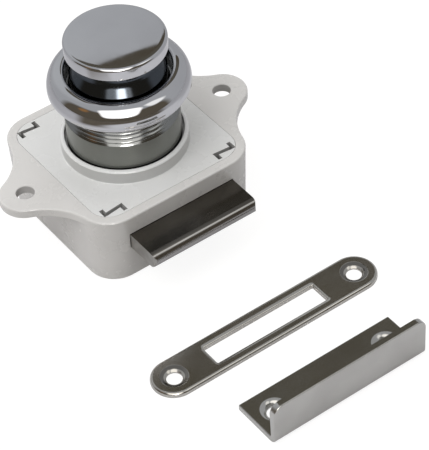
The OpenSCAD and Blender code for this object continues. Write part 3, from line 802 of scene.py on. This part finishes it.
def make_knob():
    """Knob: a faintly crowned head on a cone that widens to the neck, hollow below."""
    low, high = box_mm("knob")
    r, top, head_z = high.x, high.z, high.z - KNOB_HEAD_T
    edge, under, crown, bend, sweep, shoulder = 0.8, 0.4, 0.13, 0.5, 4.0, 1.0
    waist_r, neck_z = KNOB_NECK_R - KNOB_CONE_IN, head_z - KNOB_CONE_Z
    waist_z = neck_z + KNOB_CONE_H
    slope = math.degrees(math.atan2(KNOB_CONE_IN, KNOB_CONE_H))
    spigot_r, hollow_z = 8.5, box_mm("plunger")[1].z + 0.3
    ring_z, seat = box_mm("stop_ring")[0].z, 0.4
    screw_r, screw_z = 1.5, box_mm("knob_screw")[1].z + 0.2
    profile = [(0, screw_z), (screw_r, screw_z), (screw_r, hollow_z), (spigot_r, hollow_z),
               (spigot_r, low.z), (KNOB_NECK_R - seat, low.z), (KNOB_NECK_R - seat, ring_z),
               (KNOB_NECK_R, ring_z + seat)]
    profile += arc((KNOB_NECK_R - bend, neck_z - bend * 0.3), bend, 0, slope, 5)
    profile += arc((waist_r + sweep, waist_z + sweep * 0.3), sweep, 180 + slope, 180, 10)
    profile += arc((waist_r + shoulder, head_z - shoulder), shoulder, 180, 90, 7)
    profile += arc((r - under, head_z + under), under, 270, 360, 5)
    profile += arc((r - edge, top - crown - edge), edge, 0, 88, 12)
    flat, steps = r - edge, 16
    for i in range(1, steps + 1):
        s = flat * (1 - i / steps)
        profile.append((s, top - crown * (s / flat) ** 2))
    knob = softened(as_object("knob_head", spun(profile, closed=False)), 40)
    seated(knob, "knob_body", "knob", stack_chrome)
    # The knob's neck under its head gets painted shade
    painted(knob, [neck_chrome_painted_shade], lambda place, _: int(place.z < head_z - 0.3))


def make_knob_ring():
    """Knob ring: a round rubber ring at the knob's foot."""
    low, high = box_mm("knob_ring")
    r = (high.z - low.z) / 2
    ring = as_object("stop_o_ring", spun(arc((high.x - r, low.z + r), r, 0, 345, 23)))
    softened(ring, 60)
    seated(ring, "knob_body", "knob_ring", ring_rubber)


# Bolt and strikes

def make_bolt():
    """Bolt: a flat tongue with a full round nose, on two legs in the slide."""
    low, high = box_mm("bolt")
    nose, corner, over = BOLT_T / 2, 1.2, 1
    root_y, half = box_mm("bolt_slide")[0].y - 0.05, high.x
    side = [(root_y, BOLT_Z), (root_y, BOLT_Z + BOLT_T)]
    side += arc((low.y + nose, BOLT_Z + nose), nose, 90, 270, 16)
    tongue = as_object("bolt_tongue", lofted([[(x, y, z) for y, z in side] for x in (-half, half)]))
    for s in (-1, 1):
        outline = arc((s * (half - corner), low.y + corner), corner, 270, 270 + s * 90, 8)
        outline += [(s * (half + over), low.y + corner), (s * (half + over), low.y - over),
                    (s * (half - corner), low.y - over)]
        combined(tongue, [prism(outline, BOLT_Z - over, BOLT_Z + BOLT_T + over)], "DIFFERENCE")
    softened(rounded(tongue, 0.12, 50), 30)
    legs = []
    for s in (-1, 1):
        inner, outer = s * BOLT_LEG_IN, s * BOLT_LEG_OUT
        points = [(inner, root_y), (outer, root_y), (outer, high.y), (inner, high.y)]
        legs.append(prism(points, BOLT_Z, BOLT_Z + BOLT_T))
    softened(combined(tongue, legs, "UNION"), 30)

    def zone(place, normal):
        """1, painted light, on the tongue's two ends, 2, a painted highlight, along its nose."""
        if place.y > root_y:
            return 0
        if abs(normal.x) > 0.6:
            return 1
        return 2 if normal.y < -0.3 and normal.z < 0.85 else 0

    seated(tongue, "bolt_body", "bolt", bolt_metal)
    # Its ends get painted light and its nose a painted highlight
    painted(tongue, [bolt_end_painted_light, bolt_nose_painted_highlight], zone)


def stadium(inset, z):
    """The strike plate's outline at a height, set in by some width, with its two round ends."""
    low, high = box_mm("strike_plate")
    radius, half = (high.y - low.y) / 2 - inset, PLATE_PITCH / 2
    outline = arc((half, 0), radius, -90, 90, 28) + arc((-half, 0), radius, 90, 270, 28)
    return [(x, y, z) for x, y in outline]


def slot_cutter(half_x, half_y, depth, roll=1.0, drop=0.34, corner=0.3):
    """A slot's cutter whose upper edge is rolled over."""
    over, lift = 0.6, 0.01
    rolled = [(roll - x, depth + z) for x, z in oval((0, -drop), roll, drop + lift, 0, 90, 6)]
    rings = []
    for grow, z in [(0, -over), *rolled, (roll + over, depth + over)]:
        x, y, r = half_x + grow, half_y + grow, corner + grow
        outline = (arc((x - r, y - r), r, 0, 90, 4) + arc((r - x, y - r), r, 90, 180, 4)
                   + arc((r - x, r - y), r, 180, 270, 4) + arc((x - r, r - y), r, 270, 360, 4))
        rings.append([(px, py, z) for px, py in outline])
    return lofted(rings)


def laid(obj, mid):
    """Shifts a strike from the middle to its own place on the floor."""
    obj.data.transform(Matrix.Translation(Vector((mid.x, mid.y, 0)) * MM))
    return obj


def make_strike_plate():
    """Strike plate: a stamped plate with a rolled edge, a slot and two countersunk holes."""
    low, high = box_mm("strike_plate")
    mid, t, roll, steps = (low + high) / 2, high.z, 0.75, 7
    rings = [stadium(inset, z) for inset, z in [(0.15, 0), (0.04, 0.04), (0, 0.15)]]
    for inset, z in arc((roll, t - roll), roll, 180, 90, steps):
        rings.append(stadium(inset, z))
    cutters = [slot_cutter(SLOT_L / 2, SLOT_W / 2, t)]
    cutters += [moved(screw_cutter(t, PLATE_KNEE), s * PLATE_PITCH / 2) for s in (-1, 1)]

    def in_sink(place, normal):
        """Whether a face is the dished outer part of a countersink."""
        away = math.hypot(abs(place.x - mid.x) - PLATE_PITCH / 2, place.y - mid.y)
        return int(HOLE_R + PLATE_KNEE[0] < away < SINK_R and normal.z < 0.97)

    plate = as_object("strike_plate_leaf", lofted(rings))
    softened(laid(combined(plate, cutters, "DIFFERENCE"), mid), 30)
    seated(plate, "case_body", "strike_plate", strike_nickel)
    # The countersinks' dished walls get painted shade
    painted(plate, [countersink_painted_shade], in_sink)


def make_angle_strike():
    """Angle strike: a bent leaf with two countersunk holes and rounded upper corners."""
    low, high = box_mm("angle_strike")
    mid = (low + high) / 2
    half, front, back, leg = (high.x - low.x) / 2, low.y - mid.y, high.y - mid.y, high.z
    centre = (front + ANGLE_BEND, ANGLE_BEND)
    side = arc(centre, ANGLE_BEND, 270, 180, 10)
    side += [(front, leg), (front + ANGLE_T, leg)]
    side += arc(centre, ANGLE_BEND - ANGLE_T, 180, 270, 5)
    side += [(back, ANGLE_T), (back, 0)]
    bm = lofted([[(x, y, z) for y, z in side] for x in (-half, half)])
    corners = [e for e in bm.edges
               if all(v.co.z > leg * MM - 1e-5 for v in e.verts)
               and abs(e.verts[0].co.x - e.verts[1].co.x) < 1e-6]
    bmesh.ops.bevel(bm, geom=corners, offset=ANGLE_TOP_R * MM, segments=10, profile=0.5,
                    affect="EDGES", material=-1)
    back_y, arc_z = (front + ANGLE_T - 0.01) * MM, (leg - ANGLE_TOP_R - 0.01) * MM
    edge, sharp = 0.24, math.radians(50)
    edges = [e for e in bm.edges if len(e.link_faces) == 2 and e.calc_face_angle(0) > sharp
             and not all(v.co.y > back_y and v.co.z > arc_z for v in e.verts)]
    bmesh.ops.bevel(bm, geom=edges, offset=edge * MM, segments=3, profile=0.5, affect="EDGES",
                    material=-1)
    cutters = [moved(screw_cutter(ANGLE_T, ANGLE_KNEE), s * ANGLE_PITCH / 2, ANGLE_HOLE_Y)
               for s in (-1, 1)]
    leaf = as_object("angle_strike_leaf", bm)
    softened(laid(combined(leaf, cutters, "DIFFERENCE"), mid), 30)
    seated(leaf, "case_body", "angle_strike", angle_nickel)


def dress_inner_nodes():
    """The pieces inside keep their CAD shapes and get their own finishes."""
    finishes = {
        "plunger": plunger_black, "knob_screw": inner_steel, "spring_washer": inner_steel,
        "knob_spring": spring_steel, "bolt_slide": slide_grey, "left_bolt_pin": inner_steel,
        "right_bolt_pin": inner_steel, "left_bolt_spring": spring_steel,
        "right_bolt_spring": spring_steel,
    }
    for name, material in finishes.items():
        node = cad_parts[name]
        node.data.materials.clear()
        node.data.materials.append(material)


STATIONS = case_stations()
make_case(STATIONS)
make_cover(STATIONS)
make_barrel()
make_stop_ring()
make_clamp_nut()
make_rosette()
make_knob()
make_knob_ring()
make_bolt()
make_strike_plate()
make_angle_strike()
dress_inner_nodes()


# Stage, light and camera

# The photograph's camera, in metres, degrees and pixels
AZIMUTH = math.radians(-33.65)
ELEVATION = math.radians(44.10)
ROLL = math.radians(-4.0)
DISTANCE = 0.5011
AIM = Vector((0.00953, -0.01942, 0.0))
FOCAL_PX = 2200.0
FRAME_W, FRAME_H = 429, 450
SENSOR = 36.0

# The lamp's side, its distance and width in metres, and its power in watts
KEY_SIDE = (-0.95, -0.22, 1.5)
KEY_DISTANCE, KEY_WIDTH, KEY_POWER = 0.42, 0.26, 0.52

# Strength of the fill light at the horizon and overhead, and the side that gets less of it
FILL_LOW, FILL_HIGH = 0.30, 1.27
DIM_SIDE, DIM_PART, DIM_SPAN = (0.2, -0.98, 0.0), 0.52, (-0.1, 0.9)

# The table's own tone, and the white glow that the camera sees over it: its part and strength
TABLE_TONE = (0.50, 0.485, 0.465)
GLOW_PART, GLOW_STRENGTH = 0.66, 1.36

# What polished metal mirrors of the table: pale patches under the latch and the strikes, each
# with its centre and the scale that shapes it, and where they fade, in metres. Beyond them it is
# a tone behind and the room's tone in front, with the cosines between which one turns into the other
PATCH_TONE = (0.66, 0.66, 0.68)
PATCHES = [((0.008, -0.012), (1.0, 1.0)), ((0.004, -0.088), (0.75, 1.075))]
PATCH_FADE = (0.052, 0.092)
BEHIND_TONE = (0.48, 0.48, 0.50)
FRONT_FADE = (0.35, 0.65)

# Cards that the polished metal mirrors: colour, strength and place, then their shape. Angles are
# in degrees: aside from the line of sight and up from the horizon in front or behind, or round
# the object from the camera and up
WALL_TONE = (0.45, 0.46, 0.475)
ROOM_TONE = (0.115, 0.098, 0.074)
CARD_SHAPE = ["Middle", "Half width", "Low", "High", "Soft", "Slant", "Squareness"]
ROOM_CARDS = [
    ((0.53, 0.545, 0.56), 1.0, "behind", -24, 24, 8, 74, 20, 0.0, 2.5),
    ((0.085, 0.072, 0.052), 1.0, "behind", 0, 20, 40.45, 62, 0.2, 0.49, 8.0),
    ((0.105, 0.096, 0.076), 1.0, "behind", 0, 18, 41.6, 60, 1.2, 0.30, 4.0),
    (ROOM_TONE, 1.0, "round", -8, 84, -80, 44, 8, 0.0, 8.0),
    ((1.0, 0.98, 0.95), 1.7, "front", -1, 26, 16, 70, 4, 0.0, 4.0),
    ((1.0, 0.98, 0.95), 14.0, "front", 4, 9, 20, 34, 4, 0.0, 2.2),
    ((0.95, 0.95, 0.93), 1.3, "round", 70, 17, 38, 64, 6, 0.0, 3.0),
    ((0.9, 0.48, 0.20), 0.36, "round", -62, 8, 25, 40, 6, 0.0, 2.0),
    ((1.0, 0.72, 0.42), 2.4, "round", 17, 2.5, -12, -3, 3, 0.0, 2.0),
]


def make_camera():
    """The photograph's camera, turned a little about its own axis."""
    back = Vector((math.sin(AZIMUTH) * math.cos(ELEVATION),
                   -math.cos(AZIMUTH) * math.cos(ELEVATION), math.sin(ELEVATION)))
    right = (-back).cross(Vector((0, 0, 1))).normalized()
    up = right.cross(-back)
    turned_right = right * math.cos(ROLL) + up * math.sin(ROLL)
    turned_up = up * math.cos(ROLL) - right * math.sin(ROLL)
    lens = bpy.data.cameras.new("Camera")
    lens.sensor_width = SENSOR
    lens.sensor_fit = "AUTO"
    lens.lens = FOCAL_PX / max(FRAME_W, FRAME_H) * SENSOR
    lens.clip_start, lens.clip_end = 0.01, 20
    turn = Matrix((turned_right, turned_up, back)).transposed().to_4x4()
    camera = in_scene("Camera", lens)
    camera.matrix_world = Matrix.Translation(AIM + back * DISTANCE) @ turn
    bpy.context.scene.camera = camera


def table_tone(nodes, links, step, glossy):
    """The table's colour: its own tone, or for a mirror its patches and what lies beyond them."""
    where = added(nodes, "TexCoord").outputs["Object"]
    reaches = []
    for (x, y), (scale_x, scale_y) in PATCHES:
        shift = added(nodes, "Mapping", {"Scale": (scale_x, scale_y, 1),
                                         "Location": (-x * scale_x, -y * scale_y, 0)})
        reach = added(nodes, "VectorMath", operation="LENGTH")
        links.new(where, shift.inputs["Vector"])
        links.new(shift.outputs["Vector"], reach.inputs[0])
        reaches.append(reach.outputs["Value"])
    far = ranged(nodes, links, step("MINIMUM", *reaches), *PATCH_FADE)
    ahead = added(nodes, "VectorMath", operation="NORMALIZE")
    toward = added(nodes, "VectorMath", operation="DOT_PRODUCT")
    toward.inputs[1].default_value = (math.sin(AZIMUTH), -math.cos(AZIMUTH), 0)
    links.new(where, ahead.inputs[0])
    links.new(ahead.outputs["Vector"], toward.inputs[0])
    facing = ranged(nodes, links, toward.outputs["Value"], *FRONT_FADE)
    beyond = blended(nodes, links, facing.outputs["Result"], BEHIND_TONE, ROOM_TONE)
    mirrored = blended(nodes, links, far.outputs["Result"], PATCH_TONE, beyond)
    return blended(nodes, links, glossy, TABLE_TONE, mirrored)


def make_floor():
    """The table, which looks white, keeps a faint shadow and is mirrored only near the pieces."""
    bm = bmesh.new()
    bmesh.ops.create_grid(bm, x_segments=1, y_segments=1, size=3.0)
    floor = as_object("floor", bm)
    drop = 0.02
    floor.data.transform(Matrix.Translation((0, 0, -drop * MM)))
    material, nodes, links = new_material("Pale floor")
    step, path = math_steps(nodes, links), added(nodes, "LightPath").outputs
    shader = nodes["Principled BSDF"]
    shader.inputs["Roughness"].default_value = 0.9
    shader.inputs["Specular IOR Level"].default_value = 0.1
    links.new(table_tone(nodes, links, step, path["Is Glossy Ray"]), shader.inputs["Base Color"])
    glow = added(nodes, "Emission", {"Color": (1, 1, 1, 1), "Strength": GLOW_STRENGTH})
    look = mixed(nodes, links, step("MULTIPLY", path["Is Camera Ray"], GLOW_PART),
                 shader.outputs["BSDF"], glow.outputs["Emission"])
    links.new(look, nodes["Material Output"].inputs["Surface"])
    floor.data.materials.append(material)


def make_lamp():
    """A soft round lamp that faces the latch, and that its metal doesn't mirror."""
    light = bpy.data.lights.new("Key", "AREA")
    light.shape = "DISK"
    light.size = KEY_WIDTH
    light.energy = KEY_POWER
    lamp = in_scene("Key", light)
    away = Vector(KEY_SIDE).normalized()
    lamp.location = away * KEY_DISTANCE
    lamp.rotation_mode = "QUATERNION"
    lamp.rotation_quaternion = away.to_track_quat("Z", "Y")
    lamp.visible_glossy = False


def card_group():
    """A soft-edged card in the room: a mask by the angles aside and up, in degrees."""
    group, start, end = effect_group(
        "Room card", [(label, "Float", 1.0) for label in ["Aside", "Rise", *CARD_SHAPE]],
        [("Mask", "Float")])
    step, put = math_steps(group.nodes, group.links), start.outputs
    aside = step("SUBTRACT", put["Aside"], put["Middle"])
    height = step("ADD", put["Rise"], step("MULTIPLY", aside, put["Slant"]))
    middle_z = step("MULTIPLY", step("ADD", put["Low"], put["High"]), 0.5)
    half_z = step("MULTIPLY", step("SUBTRACT", put["High"], put["Low"]), 0.5)
    across = step("ABSOLUTE", step("DIVIDE", aside, put["Half width"]))
    along = step("ABSOLUTE", step("DIVIDE", step("SUBTRACT", height, middle_z), half_z))
    both = step("ADD", step("POWER", across, put["Squareness"]),
                step("POWER", along, put["Squareness"]))
    reach = step("POWER", both, step("DIVIDE", 1.0, put["Squareness"]))
    inside = step("MULTIPLY", step("SUBTRACT", 1.0, reach), half_z)
    mask = step("ADD", step("DIVIDE", inside, put["Soft"]), 0.5, clamp=True)
    group.links.new(mask, end.inputs["Mask"])
    return group


def room_colour(nodes, links, step, where):
    """What the polished metal mirrors: a grey room with the cards in it, each over the last."""
    turn = added(nodes, "VectorRotate", {"Angle": -AZIMUTH}, rotation_type="Z_AXIS")
    axes = added(nodes, "SeparateXYZ")
    links.new(where, turn.inputs["Vector"])
    links.new(turn.outputs["Vector"], axes.inputs["Vector"])
    x, y, z = axes.outputs["X"], axes.outputs["Y"], axes.outputs["Z"]

    def degrees(operation, *values):
        """An angle from an inverse function, in degrees."""
        return step("MULTIPLY", step(operation, *values), 180 / math.pi)

    aside, nearer = degrees("ARCSINE", x), step("MULTIPLY", y, -1.0)
    places = {
        "front": (aside, degrees("ARCTAN2", z, nearer)),
        "behind": (aside, degrees("ARCTAN2", z, y)),
        "round": (degrees("ARCTAN2", x, nearer), degrees("ARCSINE", z)),
    }
    card = card_group()
    colour = WALL_TONE
    for tone, strength, place, *shape in ROOM_CARDS:
        mask = added(nodes, "Group", node_tree=card)
        for label, value in zip(CARD_SHAPE, shape):
            mask.inputs[label].default_value = value
        for label, angle in zip(("Aside", "Rise"), places[place]):
            links.new(angle, mask.inputs[label])
        colour = blended(nodes, links, mask.outputs["Mask"], colour,
                         [strength * c for c in tone])
    return colour


def fill_strength(nodes, links, step, where):
    """Light that grows from the horizon up, and is weaker on the dim side."""
    axes = added(nodes, "SeparateXYZ")
    links.new(where, axes.inputs["Vector"])
    sky = added(nodes, "MapRange", {"To Min": FILL_LOW, "To Max": FILL_HIGH})
    links.new(axes.outputs["Z"], sky.inputs["Value"])
    aim = added(nodes, "VectorMath", operation="DOT_PRODUCT")
    aim.inputs[1].default_value = DIM_SIDE
    links.new(where, aim.inputs[0])
    dim = added(nodes, "MapRange", {"From Min": DIM_SPAN[0], "From Max": DIM_SPAN[1],
                                    "To Min": 1.0, "To Max": DIM_PART})
    links.new(aim.outputs["Value"], dim.inputs["Value"])
    return step("MULTIPLY", sky.outputs["Result"], dim.outputs["Result"])


def make_world():
    """Even fill light for the object, a room for its polished metal to mirror, and white behind."""
    world = bpy.data.worlds.new("Studio")
    bpy.context.scene.world = world
    world.use_nodes = True
    nodes, links = world.node_tree.nodes, world.node_tree.links
    nodes.clear()
    step, path = math_steps(nodes, links), added(nodes, "LightPath").outputs
    where = added(nodes, "TexCoord").outputs["Generated"]
    room = added(nodes, "Background")
    links.new(room_colour(nodes, links, step, where), room.inputs["Color"])
    fill = added(nodes, "Background", {"Color": (1, 1, 1, 1)})
    links.new(fill_strength(nodes, links, step, where), fill.inputs["Strength"])
    white = added(nodes, "Background", {"Color": (1, 1, 1, 1)})
    mirrored = mixed(nodes, links, path["Is Glossy Ray"], fill.outputs["Background"],
                     room.outputs["Background"])
    seen = mixed(nodes, links, path["Is Camera Ray"], mirrored, white.outputs["Background"])
    links.new(seen, added(nodes, "OutputWorld").inputs["Surface"])


make_floor()
make_world()
make_lamp()
make_camera()

scene = bpy.context.scene
scene.view_settings.view_transform = "Standard"
